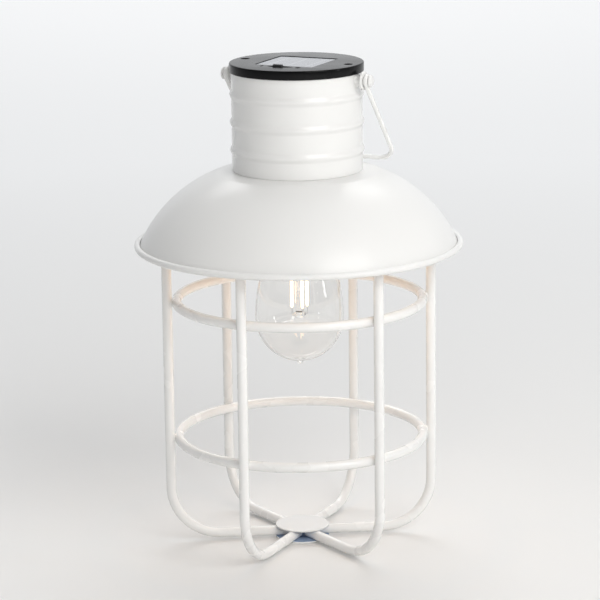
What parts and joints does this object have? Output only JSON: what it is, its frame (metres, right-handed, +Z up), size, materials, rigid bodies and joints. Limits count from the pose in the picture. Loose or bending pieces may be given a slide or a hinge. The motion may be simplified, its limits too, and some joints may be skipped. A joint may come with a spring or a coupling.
{
  "type": "solar lantern",
  "caption": "White enamelled cage lantern with a pressed shade, beaded can, wire bail, clear filament-style lamp and a black solar head with a slide switch.",
  "frame": {"origin": "centre of the cage on the floor, under the lower hub plate", "axes": "+Z up along the can and lamp; +X along the bail pivot axis; the switch is on -Y and the bail hangs back towards +Y"},
  "size_m": [0.2136, 0.2136, 0.3194],
  "materials": {
    "white_enamel": "gloss white enamel",
    "bare_steel": "bare bright steel",
    "black_moulding": "plain black moulding",
    "head_plastic": "fine-textured satin black ABS",
    "knob_plastic": "smooth black moulding",
    "brass": "plated brass",
    "clear_glass": "clear blown glass",
    "filament": "phosphor-coated LED filament, lit",
    "solar_cell": "silicon cell under resin",
    "panel_resin": "clear cast resin",
    "board_green": "solder-masked board",
    "cell_jacket": "shrink-wrapped cell, plain",
    "lead_red": "insulated lead"
  },
  "bodies": {
    "lantern": {"neck_can": "white_enamel", "dome_shade": "white_enamel", "upper_ring": "white_enamel", "lower_ring": "white_enamel", "rib_1": "white_enamel", "rib_2": "white_enamel", "rib_3": "white_enamel", "rib_4": "white_enamel", "rib_5": "white_enamel", "rib_6": "white_enamel", "hub_plate_top": "white_enamel", "hub_plate_bottom": "white_enamel", "hub_slug": "bare_steel", "ear_bush_left": "white_enamel", "ear_bush_right": "white_enamel", "bail_rivet_left": "white_enamel", "bail_rivet_right": "white_enamel", "lamp_bridge": "bare_steel", "lamp_holder": "black_moulding", "holder_nut": "black_moulding", "socket_shell": "brass", "socket_tongue": "brass", "bulb_cap": "brass", "bulb_end_contact": "black_moulding", "bulb_glass": "clear_glass", "bulb_stem": "clear_glass", "bulb_filaments": "filament", "filament_wires": "bare_steel", "solar_head": "head_plastic", "solar_cell": "solar_cell", "panel_cover": "panel_resin", "head_screws": "bare_steel", "head_bracket_left": "bare_steel", "head_bracket_right": "bare_steel", "switch_body": "bare_steel", "circuit_board": "board_green", "board_parts": "black_moulding", "battery_tray": "black_moulding", "tray_screws": "bare_steel", "battery_cell": "cell_jacket", "battery_spring": "bare_steel", "battery_plate": "bare_steel", "battery_cover": "black_moulding", "lamp_leads": "lead_red"},
    "bail": {"bail_handle": "white_enamel"},
    "knob": {"switch_knob": "knob_plastic"}
  },
  "joints": [
    {"name": "bail_hinge", "type": "hinge", "parent": "lantern", "child": "bail", "pos_m": [0, 0, 0.3079], "axis": [1, 0, 0], "range_deg": [0, 283.4]},
    {"name": "switch_slide", "type": "slide", "parent": "lantern", "child": "knob", "axis": [1, 0, 0], "range_m": [0, 0.0026]}
  ]
}
